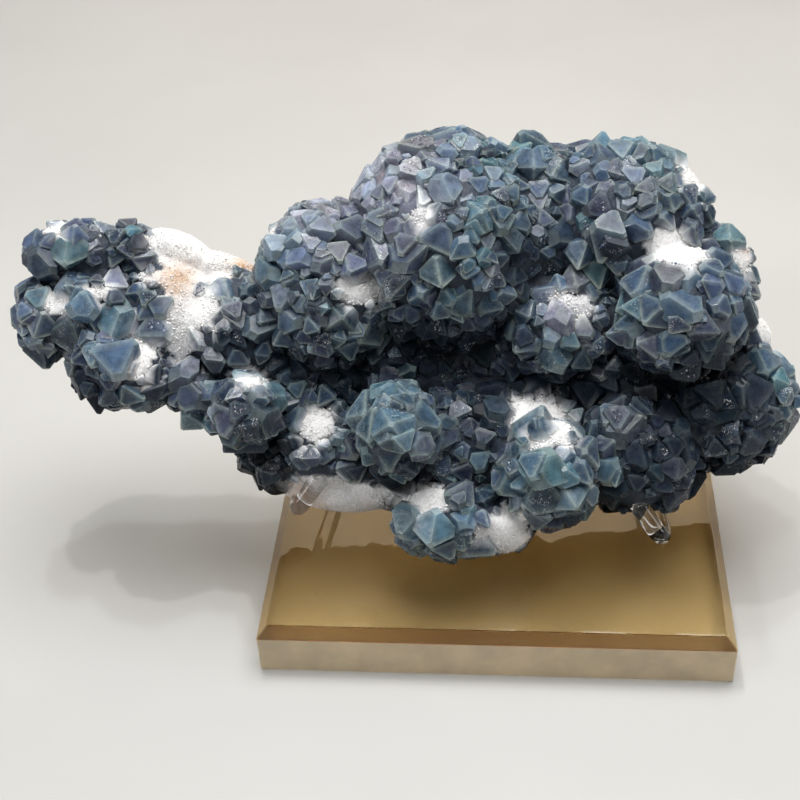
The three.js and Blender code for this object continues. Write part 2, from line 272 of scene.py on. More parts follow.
def fan(middle, ring):
    # a triangle from the point numbered middle to each side of a ring
    return np.stack([np.full(len(ring), middle), ring, np.roll(ring, -1)], axis=1)


def turnedRound(faces):
    # the same faces with their other side out
    return np.concatenate([faces[:, :1], faces[:, :0:-1]], axis=1)


def applied(piece):
    # the piece with its modifiers worked into its mesh
    graph = bpy.context.evaluated_depsgraph_get()
    mesh = bpy.data.meshes.new_from_object(piece.evaluated_get(graph))
    old, piece.data = piece.data, mesh
    piece.modifiers.clear()
    bpy.data.meshes.remove(old)
    mesh.name = piece.name
    return piece


def handIn(piece, slot, material, *nodes):
    # a finished piece: it rides on the one body and stands for its nodes
    piece.data.materials.clear()
    piece.data.materials.append(material)
    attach(piece, "root")
    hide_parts(*nodes)
    print("made", piece.name, len(piece.data.polygons), "faces")


# Stand
slab = {
    "width": 127, "depth": 90, "thickness": 15,
    "bevelInset": 2.7, "bevelDrop": 2.8,
    "edgeRound": 0.35,       # softening of the polished edges
    "cornerRound": 0.5,
    "cornerSteps": 4,
    "holeDepth": 8, "holeSides": 48,
    "hazeGap": 0.02, "hazeSkin": 0.05,   # cloudy skin of the sawn sides
}
rods = {
    "radius": 2.5, "fitGap": 0.3, "sides": 40,
    "bendSteps": 14, "stepLength": 1.0,
    "tipSwell": 1.03, "tipSteps": 10, "tipBulge": 0.05, "footTaper": 0.9,   # shares of the radius
    "footBend": 7, "tipBend": 4,
    "tipInward": 7, "tipBack": 3.5, "tipUp": 9.5,
    "shownEnd": 14,          # length of the tip that no crystal hides
    "arms": {                # foot x y, bend x y, height, inward
        "left_arm_rod": (-50, 24, -55, -16.5, 31.5, 1),
        "right_arm_rod": (42, 24, 45.9, -17.5, 24, -1),
    },
    "propFoot": (-6, 37), "propHeight": 50, "propBend": 5, "propForward": 7.5, "propUp": 8.5,
}


def bentPath(corners, radii):
    # straight runs, each inner corner rounded by a quadratic curve with run = radius / tan(half angle)
    points = np.array(corners, float)
    path = [points[:1]]
    t = np.linspace(0, 1, rods["bendSteps"])[:, None]
    for before, at, after, radius in zip(points, points[1:], points[2:], radii):
        toBefore = (before - at) / np.linalg.norm(before - at)
        toAfter = (after - at) / np.linalg.norm(after - at)
        run = radius / math.tan(math.acos(np.clip(toBefore @ toAfter, -1, 1)) / 2)
        start, end = at + run * toBefore, at + run * toAfter
        path.append((1 - t) ** 2 * start + 2 * t * (1 - t) * at + t ** 2 * end)
    path.append(points[-1:])
    return np.concatenate(path)


def evenPath(path):
    # the same line with points about one step length apart
    length = np.concatenate([[0], np.cumsum(np.linalg.norm(np.diff(path, axis=0), axis=1))])
    places = np.linspace(0, length[-1], max(2, round(length[-1] / rods["stepLength"])))
    return np.stack([np.interp(places, length, path[:, i]) for i in range(3)], axis=1)


def rodPaths():
    holeBottom = slab["thickness"] - slab["holeDepth"] + rods["fitGap"]
    paths = {}
    for name, (footX, footY, bendX, bendY, height, inward) in rods["arms"].items():
        tip = (bendX + inward * rods["tipInward"], bendY + rods["tipBack"], height + rods["tipUp"])
        corners = [(footX, footY, holeBottom), (footX, footY, height), (bendX, bendY, height), tip]
        paths[name] = bentPath(corners, [rods["footBend"], rods["tipBend"]])
    x, y = rods["propFoot"]
    top = (x, y - rods["propForward"], rods["propHeight"] + rods["propUp"])
    corners = [(x, y, holeBottom), (x, y, rods["propHeight"]), top]
    paths["back_prop_rod"] = bentPath(corners, [rods["propBend"]])
    return paths


paths = rodPaths()
rodLine = inSeat(np.concatenate([evenPath(path) for path in paths.values()]))
nearestBatch = 20000         # points compared with the rods at a time


def offRods(points, gap):
    # points nearer to a rod's centre line than gap move straight away from it until they are gap away;
    # also gives each point's distance from the line before the move
    nearest = np.empty(len(points), int)
    for start in range(0, len(points), nearestBatch):
        part = points[start:start + nearestBatch]
        square = ((part[:, None, :] - rodLine) ** 2).sum(axis=2)
        nearest[start:start + nearestBatch] = square.argmin(axis=1)
    away = points - rodLine[nearest]
    distance = np.linalg.norm(away, axis=1, keepdims=True)
    moved = rodLine[nearest] + away * gap / np.maximum(distance, 1e-6)
    return np.where(distance < gap, moved, points), distance[:, 0]


def rodPiece(name, path):
    # a circle of radius r carried along the path: r is a little less at the foot, swells before the tip
    # and falls there as the cosine of 0 to 90 degrees, so that the tip closes as a ball
    radius = rods["radius"]
    path = evenPath(path)
    ahead = path[-1] - path[-2]
    ahead = ahead / np.linalg.norm(ahead)
    angle = np.linspace(0, math.pi / 2, rods["tipSteps"])[1:-1, None]
    path = np.concatenate([path, path[-1] + ahead * radius * np.sin(angle)])
    swell = rods["tipSwell"]
    thickness = np.full(len(path), float(radius))
    thickness[-len(angle):] = swell * radius * np.cos(angle[:, 0])
    thickness[-len(angle) - 1] = swell * radius
    thickness[0] = rods["footTaper"] * radius
    tangent = unit(np.gradient(path, axis=0))
    side = unit(np.cross(tangent, (0.31, 0.05, 0.12)))   # any direction that no rod follows
    other = np.cross(tangent, side)
    turn = np.linspace(0, 2 * math.pi, rods["sides"], endpoint=False)[None, :, None]
    ring = np.cos(turn) * side[:, None, :] + np.sin(turn) * other[:, None, :]
    grid = path[:, None, :] + thickness[:, None, None] * ring
    sides, rows = rods["sides"], len(path)
    tipEnd = path[-1:] + ahead * radius * rods["tipBulge"]
    points = np.concatenate([grid.reshape(-1, 3), path[:1], tipEnd])
    foot = turnedRound(fan(rows * sides, np.arange(sides)))
    cap = fan(rows * sides + 1, (rows - 1) * sides + np.arange(sides))
    return makeMesh(name, points, [ringWalls(rows, sides), foot, cap], smooth=True)


def roundedRings(halfWidth, halfDepth, radius, heights):
    # rings of four quarter circles: x = +- half width + radius cos, y = +- half depth + radius sin;
    # radius or the half sizes, and the heights, are columns with one row for each ring
    quarter = np.radians(np.linspace(0, 90, slab["cornerSteps"] + 1))
    turns = np.concatenate([quarter + math.pi / 2 * k for k in range(4)])
    x = np.repeat([1, -1, -1, 1], len(quarter)) * halfWidth + radius * np.cos(turns)
    y = np.repeat([1, 1, -1, -1], len(quarter)) * halfDepth + radius * np.sin(turns)
    return np.stack([x, y, np.broadcast_to(heights, x.shape)], axis=-1)


def slabPiece(name):
    # rounded rectangles stacked by a profile of inset and height, with the edges of the profile softened
    soft, top = slab["edgeRound"], slab["thickness"]
    bevelBottom = top - slab["bevelDrop"]
    inset = slab["bevelInset"]
    slope = math.hypot(inset, slab["bevelDrop"])
    run, rise = inset / slope * soft, slab["bevelDrop"] / slope * soft
    profile = np.array([
        (soft, 0), (0.3 * soft, 0.3 * soft), (0, soft), (0, bevelBottom - soft),
        (0.12 * soft, bevelBottom), (run, bevelBottom + rise), (inset - run, top - rise),
        (inset - 0.1 * soft, top - 0.12 * soft), (inset + soft, top),
    ])
    corner = slab["cornerRound"]
    halfWidth = slab["width"] / 2 - profile[:, :1] - corner
    halfDepth = slab["depth"] / 2 - profile[:, :1] - corner
    grid = roundedRings(halfWidth, halfDepth, corner, profile[:, 1:])
    rows, count = grid.shape[:2]
    bottom = np.arange(count)[::-1][None, :]
    lid = (rows - 1) * count + np.arange(count)[None, :]
    piece = makeMesh(name, grid.reshape(-1, 3), [ringWalls(rows, count), bottom, lid])
    feet = [arm[:2] for arm in rods["arms"].values()] + [rods["propFoot"]]
    drill = drillPiece(feet)
    cut = piece.modifiers.new("holes", "BOOLEAN")
    cut.operation, cut.solver, cut.object = "DIFFERENCE", "EXACT", drill
    applied(piece)
    bpy.data.objects.remove(drill)
    return piece


def hazePiece(name):
    # thin closed band round the slab's sides: a rectangle of gap and gap + skin by height,
    # carried round the rounded corners
    low, high = slab["edgeRound"], slab["thickness"] - slab["bevelDrop"] - slab["edgeRound"]
    near, far = slab["hazeGap"], slab["hazeGap"] + slab["hazeSkin"]
    profile = np.array([(near, low), (far, low), (far, high), (near, high)])
    corner = slab["cornerRound"]
    halfWidth, halfDepth = slab["width"] / 2 - corner, slab["depth"] / 2 - corner
    grid = roundedRings(halfWidth, halfDepth, corner + profile[:, :1], profile[:, 1:])
    return makeMesh(name, grid.reshape(-1, 3), [ringWalls(*grid.shape[:2], closed=True)])


def drillPiece(feet):
    # one closed cylinder at each foot: two circles, a quad for each side and a lid at both ends
    sides = slab["holeSides"]
    turn = np.linspace(0, 2 * math.pi, sides, endpoint=False)
    radius = rods["radius"] + rods["fitGap"]
    points, quads, lids = [], [], []
    for n, (x, y) in enumerate(feet):
        for z in (slab["thickness"] - slab["holeDepth"], slab["thickness"] + slab["holeDepth"]):
            circle = np.stack([x + radius * np.cos(turn), y + radius * np.sin(turn)], axis=1)
            points.append(np.column_stack([circle, np.full(sides, z)]))
        low = 2 * n * sides + np.arange(sides)
        quads.append(2 * n * sides + ringWalls(2, sides))
        lids += [low[::-1][None, :], (low + sides)[None, :]]
    return makeMesh("drill", np.concatenate(points), [np.concatenate(quads)] + lids)


# Matrix: the rock under the crystals
rock = {
    "gridTurns": 56, "gridRows": 36,
    "voxel": 1.0,
    "sink": 0.9,             # how far the rock stays under the lumps' true surface
    "bumps": ((1.6, 5.5, 11), (0.8, 1.9, 12), (0.42, 0.75, 13)),   # height, size and seed
    "calm": 0.5,             # share of the bumps that the white patches lack
    "whiteFacing": -0.2,     # a patch ends where the surface turns its back this far
    "backBumps": ((0.5, 2.4, 14), (0.35, 0.9, 15)),
}


def lumpGrid(k):
    # latitude and longitude on a ball, scaled to the lump's half sizes, rolled and moved
    turn = np.linspace(0, 2 * math.pi, rock["gridTurns"], endpoint=False)
    tilt = np.linspace(0, math.pi, rock["gridRows"] + 1)[1:-1]
    ball = np.stack([
        np.sin(tilt)[:, None] * np.cos(turn),
        np.sin(tilt)[:, None] * np.sin(turn),
        np.broadcast_to(np.cos(tilt)[:, None], (len(tilt), len(turn))),
    ], axis=-1).reshape(-1, 3)
    ball = np.concatenate([ball, [(0, 0, 1), (0, 0, -1)]])
    rows, count = len(tilt), len(turn)
    walls = turnedRound(ringWalls(rows, count))
    top = fan(rows * count, np.arange(count))
    bottom = turnedRound(fan(rows * count + 1, (rows - 1) * count + np.arange(count)))
    return rolled(ball * lumpHalf[k], k) + lumpAt[k], walls, np.concatenate([top, bottom])


def rolled(points, k, way=1):
    # a turn about w by the lump's roll, back again with way -1
    c, s = math.cos(lumpRoll[k]), way * math.sin(lumpRoll[k])
    return points @ np.array([(c, s, 0), (-s, c, 0), (0, 0, 1)])


def rockPiece(name):
    # balls joined by a voxel remesh, flattened onto the broken back, with noise along the normals
    points, quads, tris, start = [], [], [], 0
    for k in range(len(lumpAt)):
        grid, walls, caps = lumpGrid(k)
        points.append(grid)
        quads.append(walls + start)
        tris.append(caps + start)
        start += len(grid)
    piece = makeMesh(name, np.concatenate(points), [np.concatenate(quads), np.concatenate(tris)])
    remesh = piece.modifiers.new("join", "REMESH")
    remesh.mode, remesh.voxel_size = "VOXEL", rock["voxel"] * mm
    applied(piece)
    mesh = piece.data
    count = len(mesh.vertices)
    place = np.empty(count * 3, np.float32)
    normal = np.empty(count * 3, np.float32)
    mesh.vertices.foreach_get("co", place)
    mesh.vertices.foreach_get("normal", normal)
    place = place.reshape(-1, 3).astype(float) / mm
    normal = normal.reshape(-1, 3).astype(float)
    bare = lumpTip[lumpLevels(place).argmin(axis=1)] == 0
    white = np.maximum(patchField(place) * (normal[:, 2] > rock["whiteFacing"]), bare)
    depth = backLevel(place[:, 0], place[:, 1])
    onBack = place[:, 2] < depth
    lift = -rock["sink"] * (1 - white)
    calm = 1 - rock["calm"] * white
    for height, size, seed in rock["bumps"]:
        lift = lift + height * (latticeNoise(place, size, seed) - 0.5) * calm
    grown = place + normal * lift[:, None]
    rough = sum(height * (latticeNoise(place, size, seed) - 0.5)
                for height, size, seed in rock["backBumps"])
    grown[:, 2] = np.where(onBack, depth + rough, np.maximum(grown[:, 2], depth))
    grown, _ = offRods(grown, rods["radius"] + rods["fitGap"])
    mesh.vertices.foreach_set("co", (onStand(grown) * mm).astype(np.float32).ravel())
    mesh.polygons.foreach_set("use_smooth", np.ones(len(mesh.polygons), bool))
    colour = rockColours(grown, white, onBack)
    mesh.attributes.new("tint", "FLOAT_COLOR", "POINT").data.foreach_set("color", colour.ravel())
    mesh.update()
    return piece


rockPaint = {
    # deep is painted shade: the rock's colour where a lump overhangs
    "white": "f6f5f5", "lilac": "85879a", "stain": "b98a55", "open": "2c3848", "deep": "0c1118",
    "backPale": "cfc8bd", "backGrey": "8f8f96", "backBlue": "4c5a70",
}
rockMix = {
    "blotch": (6, 21), "fine": (1.2, 22),       # size and seed of the noise
    "frontSpread": (0.6, 0.8),                  # least brightness, and how much the fine noise adds
    "whiteSpread": (0.9, 0.1),
    "backSpread": (0.75, 0.4),
    "whiteFade": (0.08, 0.35), "lilacShare": 0.7,
    "bandStretch": (0.25, 0.6, 1), "band": (9, 23), "bandFade": (0.35, 0.65),
    "blueFade": (0.86, 0.99),                   # the back turns blue towards its edge
    "rustShare": 0.75, "backRust": 0.5, "backRustFade": (0.62, 0.85),
}


def rockColours(points, white, onBack):
    # white in the patches, dark between the crystals and darker as painted shade under overhangs, pale and
    # banded on the back, stained in places
    paint = {key: linear(code) for key, code in rockPaint.items()}
    blotch = latticeNoise(points, *rockMix["blotch"])[:, None]
    fine = latticeNoise(points, *rockMix["fine"])[:, None]
    front, pale, back = (rockMix[key][0] + rockMix[key][1] * fine
                         for key in ("frontSpread", "whiteSpread", "backSpread"))
    # painted shade: the rock turns near black where a lump overhangs
    caveShade = overhang(points)[:, None]
    front = between(paint["open"], paint["deep"], caveShade) * front
    whiteShare = smoothStep(*rockMix["whiteFade"], white)[:, None]
    front = between(front, paint["white"] * pale, whiteShare)
    lilac = zoneField(points, lilacZones)[:, None] * rockMix["lilacShare"]
    front = between(front, paint["lilac"], lilac)
    band = latticeNoise(points * rockMix["bandStretch"], *rockMix["band"])
    band = smoothStep(*rockMix["bandFade"], band)[:, None]
    banded = between(paint["backPale"], paint["backGrey"], band)
    edge = smoothStep(*rockMix["blueFade"], lumpLevels(points).min(axis=1))[:, None]
    back = between(banded, paint["backBlue"], edge) * back
    behind = onBack[:, None]
    rust = (zoneField(points, stains)[:, None] * rockMix["rustShare"]
            + rockMix["backRust"] * behind * smoothStep(*rockMix["backRustFade"], blotch))
    rust = np.clip(rust * (0.5 + fine), 0, 1) * np.maximum(whiteShare, np.maximum(lilac, behind))
    colour = between(np.where(behind, back, front), paint["stain"], rust)
    return np.concatenate([colour, np.ones((len(colour), 1))], axis=1).astype(np.float32)


# Crystals
growth = {
    "seed": 3,
    "candidateStep": 1.2,    # distance between the places tried
    "buried": 0.93,          # a place this deep in another lump takes no crystal
    "aboveBack": 0.6,        # places stay this far in front of the broken back
    "whiteGrow": 2, "whiteLimit": 0.45,   # crystals stay this far out of the white patches
    "rodGap": 0.2, "tipCover": 0.75,      # room left round the rods, and in front of their tips
    "spacing": 0.86,         # least distance in mean tip radii
    "leastSize": 0.66, "sizeSpread": 0.75, "sizePower": 1.4,
    "smallBehind": 0.3, "behindFade": (0.1, 0.9),   # smaller where the surface looks back
    "edgeOut": 0.1, "faceOut": 0.75,  # share of crystals that turn an edge or a face outwards
    "tilt": 20,              # degrees
    "lookUp": 0.3,           # crystals overlap like roof tiles: their faces turn up this much
    "searchHeights": (-22, 32, 217),      # lowest and highest w, and how many, tried for placed crystals
    "leastSink": 0.15, "sinkSpread": 0.35,   # how deep the centres sit, in tip radii
    "squash": 0.14, "plate": 0.35,           # how unequal the axes are, and how flat it is along face 1 1 1
    "swell": 2.6, "swellSize": 9, "swellSeed": 41,   # how the grown surface rises and dips
    "tipCut": (0.08, 0.42), "cutPower": 1.3,   # share of each edge that a blunt tip takes away
    "rimWidth": 0.55,        # inner border of the pale rim, as a share of the way to the face's middle
    "faceSwell": 0.012,      # inner corners of a face stand out this far along each axis, in tip radii
    "twinShare": 0.6, "twins": 2,
    "twinSize": (0.5, 0.34),  # least share of the large one's size, and how much chance adds
    "twinReach": (1.02, 0.55),            # how far out it sits, less this times its share
    "twinFlat": 0.35, "twinTilt": 0.09,   # how much of its lift is taken away, and how far it is turned
    "fillStep": 1.6, "fillSpacing": 1.3, "fillSize": (1.8, 3.2), "fillPower": 1.6,
    # small crystals are darkened as painted shade, since they sit in the gaps between the large ones
    "fillWhiteLimit": 0.3, "fillPaintedShade": 0.6,
    "frosted": 0.3, "fillFrosted": 0.15,  # share of crystals with frosted spots
}
# Where the crystals are parted into pieces: left and right of these u, and above this v
groupLines = {"left": -32, "right": 50, "top": 14}
crystalPaint = {
    # deep is the colour of dark crystals by chance, and also of painted shade in the shade zones
    "slate": "465b74", "indigo": "414962", "teal": "4f7280", "deep": "131b28",
    "lilac": "9a9eb0", "milk": "f0f0f2",
}
crystalMix = {
    "driftSize": 14, "driftSeed": 31,
    "indigoWeights": (0.55, 0.45), "indigoFade": (0.35, 0.75),    # of chance and of drift
    # the first darkens crystals at random; the second is painted shade in the shade zones
    "deepByChance": 0.75, "paintedShadeInZone": 0.93,
    "tealSpread": (0.1, 0.9), "strayTeal": (0.9, 0.7),            # chance it takes, and its share
    "lilacSpread": (0.35, 0.6), "strayLilac": (0.985, 0.4),
    "hueSpread": (0.2, 0.06, 0.16), "brightSpread": (0.75, 0.55),
    "milkGrow": 1.2, "milkFade": (0.98, 1.12),                    # milky roots near the patches
    "undersideLight": (0.6, 0.4), "undersideFade": (-0.35, 0.6),  # painted light: rims are brighter towards each crystal's lower side
    "darkFade": (0.005, 0.07),                                    # mean colour of dark and bright ones
    "rimSpread": (0.12, 0.88), "glossSpread": (0.12, 0.38),       # of dark ones, and what bright ones add
}
grains = {
    "share": 0.1, "each": 26,             # share of the crystals that have them, and how many each
    "spread": 1.15, "cluster": 0.7,       # a cluster under 1 crowds them at the face's corners
    "radius": (0.16, 0.42), "crystalRadius": 6,   # their radii on a crystal of this tip radius
    "rodGap": 0.4, "milk": 0.5,
}
# Crystals placed one by one: u v, tip radius, what looks outwards, turn of its long axis in degrees
landmarks = [
    (61.5, 30.5, 8.6, "edge", 155), (70.5, 24, 9.0, "edge", 55), (80, 30, 5.4, "edge", 85),
    (86, 29.5, 6.4, "face", 20), (86.5, 18.5, 6.4, "face", 265), (94, 16.5, 6.2, "face", 200),
    (80.5, 40, 7.4, "face", 30), (79, 13.5, 6.6, "face", 270), (69, 14.5, 6.2, "face", 250),
    (72, -3, 6.6, "face", 80), (86, -3, 7.0, "face", 100), (-1.5, 30.5, 6.8, "face", 255),
    (10.5, 33, 7.2, "edge", 10), (11.5, 55, 7.6, "edge", 25), (20.5, 47.5, 6.2, "corner", 35),
    (28, 53.5, 5.2, "face", 60), (32.5, 46.5, 6.2, "face", 200), (28, 27.5, 4.8, "edge", 80),
    (36, 34, 5.0, "face", 10), (16, 23.5, 6.4, "face", 300), (8, 15, 6.4, "edge", 80),
    (-36, -4.5, 9.2, "corner", 20), (-26, -15.5, 6.4, "edge", 85), (-20, -14, 6.0, "edge", 75),
    (-49.5, 3, 5.4, "face", 30), (-50, -6, 5.0, "face", 90), (-89.5, 40.5, 8.4, "edge", 175),
    (-82.5, 45.5, 5.0, "face", 90), (-77, 44, 4.4, "face", 30), (-88, 30.5, 7.4, "corner", 10),
    (-75.5, 21, 9.2, "edge", 160), (-75, 11, 8.6, "face", 280), (-64.5, 25, 5.6, "face", 150),
    (-55, 16, 6.2, "edge", 30), (-97.5, 28.5, 5.2, "face", 45), (-76, 33.5, 6.4, "face", 330),
    (-84, 4, 6.4, "face", 260), (-54, 30, 5.0, "face", 0), (36.5, -17.5, 9.0, "edge", 160),
    (37, -8, 5.4, "edge", 10), (-2, -6.5, 8.8, "corner", 30), (-3.5, -15, 7.6, "face", 270),
    (8.5, -34, 8.4, "edge", 170), (43, 22, 8.6, "corner", 15), (30, 12, 5.6, "face", 270),
    (-15, 21, 7.6, "corner", 40), (54, 56, 6.6, "face", 100), (62, 45, 6.8, "edge", 60),
    (42, 62, 6.4, "edge", 150), (71, 57, 6.0, "face", 60), (52, 34, 6.2, "face", 280),
]
tipCorners = 24              # four corners at each of the six cut tips


def octahedron():
    # unit octahedron with its six tips cut off. An outer point lies on the edge from tip a to tip b at
    # a + cut (b - a); a smaller triangle lies inside each face; rim is 1 on the outer points
    outer, toward, tipOf, number = [], [], [], {}
    for tip, (axis, side) in enumerate(itertools.product(range(3), (1, -1))):
        for otherAxis, otherSide in itertools.product([k for k in range(3) if k != axis], (1, -1)):
            a, b = np.zeros(3), np.zeros(3)
            a[axis], b[otherAxis] = side, otherSide
            number[axis, side, otherAxis, otherSide] = len(outer)
            outer.append(a)
            toward.append(b - a)
            tipOf.append(tip)
    inner, tris, quads = [], [], []
    for signs in itertools.product((1, -1), repeat=3):
        middle = np.array(signs) / 3
        ring = len(outer) + len(inner)
        for axis in range(3):
            corner = np.zeros(3)
            corner[axis] = signs[axis]
            swell = growth["faceSwell"] * np.array(signs)
            inner.append(corner + growth["rimWidth"] * (middle - corner) + swell)
        tris.append((ring, ring + 1, ring + 2))
        for a, b, c in ((0, 1, 2), (1, 2, 0), (2, 0, 1)):
            ab, ba, bc = (number[p, signs[p], q, signs[q]] for p, q in ((a, b), (b, a), (b, c)))
            quads.append((ab, ba, ring + b, ring + a))
            tris.append((ba, bc, ring + b))
    for axis, side in itertools.product(range(3), (1, -1)):
        p, q = [k for k in range(3) if k != axis]
        around = ((p, 1), (q, 1), (p, -1), (q, -1))
        quads.append(tuple(number[axis, side, other, otherSide] for other, otherSide in around))
    base = np.array(outer + inner)
    toward = np.concatenate([toward, np.zeros((len(inner), 3))])
    tipOf = np.array(tipOf + [0] * len(inner))
    rim = np.concatenate([np.ones(len(outer)), np.zeros(len(inner))])
    typical = base + 0.2 * toward        # any cut serves to tell outside from inside
    return base, toward, tipOf, outward(typical, np.array(tris)), outward(typical, np.array(quads)), rim


def outward(points, faces):
    # faces whose normal looks to the centre are turned round
    corner = points[faces]
    normal = np.cross(corner[:, 1] - corner[:, 0], corner[:, 2] - corner[:, 0])
    wrong = (normal * corner.mean(axis=1)).sum(axis=1) < 0
    faces[wrong] = faces[wrong][:, ::-1]
    return faces


def surfacePlaces(step, buried, above):
    # Fibonacci points on each lump, one for each step squared of its surface: z = 1 - (2 i + 1) / n,
    # turn = i times the golden angle; those inside another lump or behind the back are dropped.
    # A lump's surface is nearly 4 pi (mean of (a b)^p, (a c)^p and (b c)^p)^(1 / p) with p = 1.6
    golden, power = math.pi * (3 - math.sqrt(5)), 1.6
    places, normals, owners = [], [], []
    for k, half in enumerate(lumpHalf):
        a, b, c = half ** power
        area = 4 * math.pi * ((a * b + a * c + b * c) / 3) ** (1 / power)
        i = np.arange(int(area / step ** 2))
        z = 1 - (2 * i + 1) / len(i)
        ring = np.sqrt(1 - z * z)
        ball = np.stack([ring * np.cos(i * golden), ring * np.sin(i * golden), z], axis=1)
        place = rolled(ball * half, k) + lumpAt[k]
        normal = rolled(ball / half, k)
        levels = lumpLevels(place)
        levels[:, k] = 9     # a lump doesn't bury its own places
        free = (levels.min(axis=1) > buried) & (place[:, 2] > backLevel(place[:, 0], place[:, 1]) + above)
        places.append(place[free])
        normals.append(normal[free] / np.linalg.norm(normal[free], axis=1, keepdims=True))
        owners.append(np.full(free.sum(), k))
    return np.concatenate(places), np.concatenate(normals), np.concatenate(owners)


def spreadOut(places, radii, spacing, taken, takenRadii):
    # goes through the places in turn and keeps one if every taken or kept place is more than
    # spacing times the mean of the two radii away
    kept = []
    size = len(taken)
    keptPlaces = np.concatenate([taken, np.zeros((len(places), 3))])
    keptRadii = np.concatenate([takenRadii, np.zeros(len(places))])
    for i, (place, radius) in enumerate(zip(places, radii)):
        apart = ((keptPlaces[:size] - place) ** 2).sum(axis=1)
        if (apart > (spacing * (keptRadii[:size] + radius) / 2) ** 2).all():
            kept.append(i)
            keptPlaces[size], keptRadii[size] = place, radius
            size += 1
    return np.array(kept)


def crystalTurns(normals, rng):
    # out = the normal, turned up a little and tilted to a random side; t = the middle of an edge
    # (1 0 1), of a face (1 1 1) or any direction of the crystal; the crystal is turned until t lies
    # along out, with a random spin about it; rows a, b, c
    n = len(normals)
    tilt = np.radians(growth["tilt"]) * rng.normal(size=(n, 3)) / math.sqrt(3)
    out = unit(normals + tilt + growth["lookUp"] * straightUp)
    t = rng.normal(size=(n, 3))
    choice = rng.random(n)
    t[choice < growth["edgeOut"]] = (1, 0, 1)
    t[choice > 1 - growth["faceOut"]] = (1, 1, 1)
    t = unit(t)
    spin = 2 * math.pi * rng.random((n, 1))
    side, other = across(out, (0.31, 0.95, 0.05))
    side, other = np.cos(spin) * side + np.sin(spin) * other, np.cos(spin) * other - np.sin(spin) * side
    second, third = across(t, (0.2, 0.5, -0.8))
    return turnsFrom((t, out), (second, side), (third, other))


def turnsFrom(*pairs):
    # the turn that carries each crystal direction of three pairs to the place direction beside it:
    # the sum of their outer products
    first, second, third = (own[:, :, None] * place[:, None, :] for own, place in pairs)
    return first + second + third


def landmarkCrystals():
    # each one sits on the frontmost lump at its u and v, half turned from the surface to the viewer;
    # its long axis lies at the given turn
    table = np.array([row[:3] for row in landmarks])
    kinds = {                # the direction that looks outwards, and the long axis
        "edge": ((1, 0, 1), (0, 1, 0)),
        "face": ((1, 1, 1), (2, -1, -1)),
        "corner": ((0, 0, 1), (1, 0, 0)),
    }
    heights = np.linspace(*growth["searchHeights"])
    column = np.zeros((len(table), len(heights), 3))
    column[..., :2] = table[:, None, :2]
    column[..., 2] = heights
    inside = lumpLevels(column.reshape(-1, 3)).min(axis=1).reshape(column.shape[:2]) < 1
    top = heights[len(heights) - 1 - inside[:, ::-1].argmax(axis=1)]
    places = np.column_stack([table[:, :2], top])
    owners = lumpLevels(places - (0, 0, 0.5)).argmin(axis=1)
    normals = unit(np.array([rolled(rolled(place - lumpAt[k], k, -1) / lumpHalf[k] ** 2, k)
                             for place, k in zip(places, owners)]))
    out = unit(normals + (0, 0, 1) + growth["lookUp"] * straightUp)
    turn = np.radians([row[4] for row in landmarks])
    along = np.column_stack([np.cos(turn), np.sin(turn), np.zeros(len(turn))])
    along = unit(along - (along * out).sum(axis=1, keepdims=True) * out)
    t, second = (unit(np.array([kinds[row[3]][i] for row in landmarks], float)) for i in (0, 1))
    turns = turnsFrom((t, out), (second, along), (np.cross(t, second), np.cross(out, along)))
    return places, normals, table[:, 2], turns


def across(directions, helper):
    # two unit directions at right angles to each one and to each other
    side = unit(np.cross(helper, directions))
    return side, np.cross(directions, side)


def shuffledPlaces(step, rng):
    # the places where crystals may grow, in random order
    places, normals, owners = surfacePlaces(step, growth["buried"], growth["aboveBack"])
    order = rng.permutation(len(places))
    return places[order], normals[order], owners[order]


def clearOfRods(places, radii, gap):
    # true where a ball round the place stays more than gap away from each rod
    _, distance = offRods(places, rods["radius"])
    return distance > radii + rods["radius"] + gap


def growCrystals(rng):
    # the placed crystals, and as many random ones between them as find room: centre = place + normal
    # (swell - sink radius)
    places, normals, owners = shuffledPlaces(growth["candidateStep"], rng)
    white = patchField(places, grow=growth["whiteGrow"]) * (normals[:, 2] > 0)
    bearing = (lumpTip[owners] > 0) & (white < growth["whiteLimit"])
    places, normals, owners = places[bearing], normals[bearing], owners[bearing]
    chance = rng.random(len(places)) ** growth["sizePower"]
    radii = lumpTip[owners] * (growth["leastSize"] + growth["sizeSpread"] * chance)
    radii *= 1 - growth["smallBehind"] * smoothStep(*growth["behindFade"], -normals[:, 2])
    clear = clearOfRods(places, radii, growth["rodGap"]) & ~beforeTips(places, radii)
    places, normals, radii = places[clear], normals[clear], radii[clear]
    markPlaces, markNormals, markRadii, markTurns = landmarkCrystals()
    kept = spreadOut(places, radii, growth["spacing"], markPlaces, markRadii)
    places, normals, radii = places[kept], normals[kept], radii[kept]
    turns = np.concatenate([markTurns, crystalTurns(normals, rng)])
    places, normals = np.concatenate([markPlaces, places]), np.concatenate([markNormals, normals])
    radii = np.concatenate([markRadii, radii])
    sink = growth["leastSink"] + growth["sinkSpread"] * rng.random(len(places))
    swell = growth["swell"] * (latticeNoise(places, growth["swellSize"], growth["swellSeed"]) - 0.5)
    centres = places + normals * (swell - sink * radii)[:, None]
    return centres, normals, radii, turns


def beforeTips(places, radii):
    # true where a crystal would stand between the viewer and the end of an arm rod
    hidden = np.zeros(len(places), bool)
    for name in rods["arms"]:
        tip = inSeat(evenPath(paths[name])[-rods["shownEnd"]:])
        for u, v, _ in tip:
            distance = np.hypot(places[:, 0] - u, places[:, 1] - v)
            hidden |= distance < growth["tipCover"] * radii + rods["radius"]
    return hidden


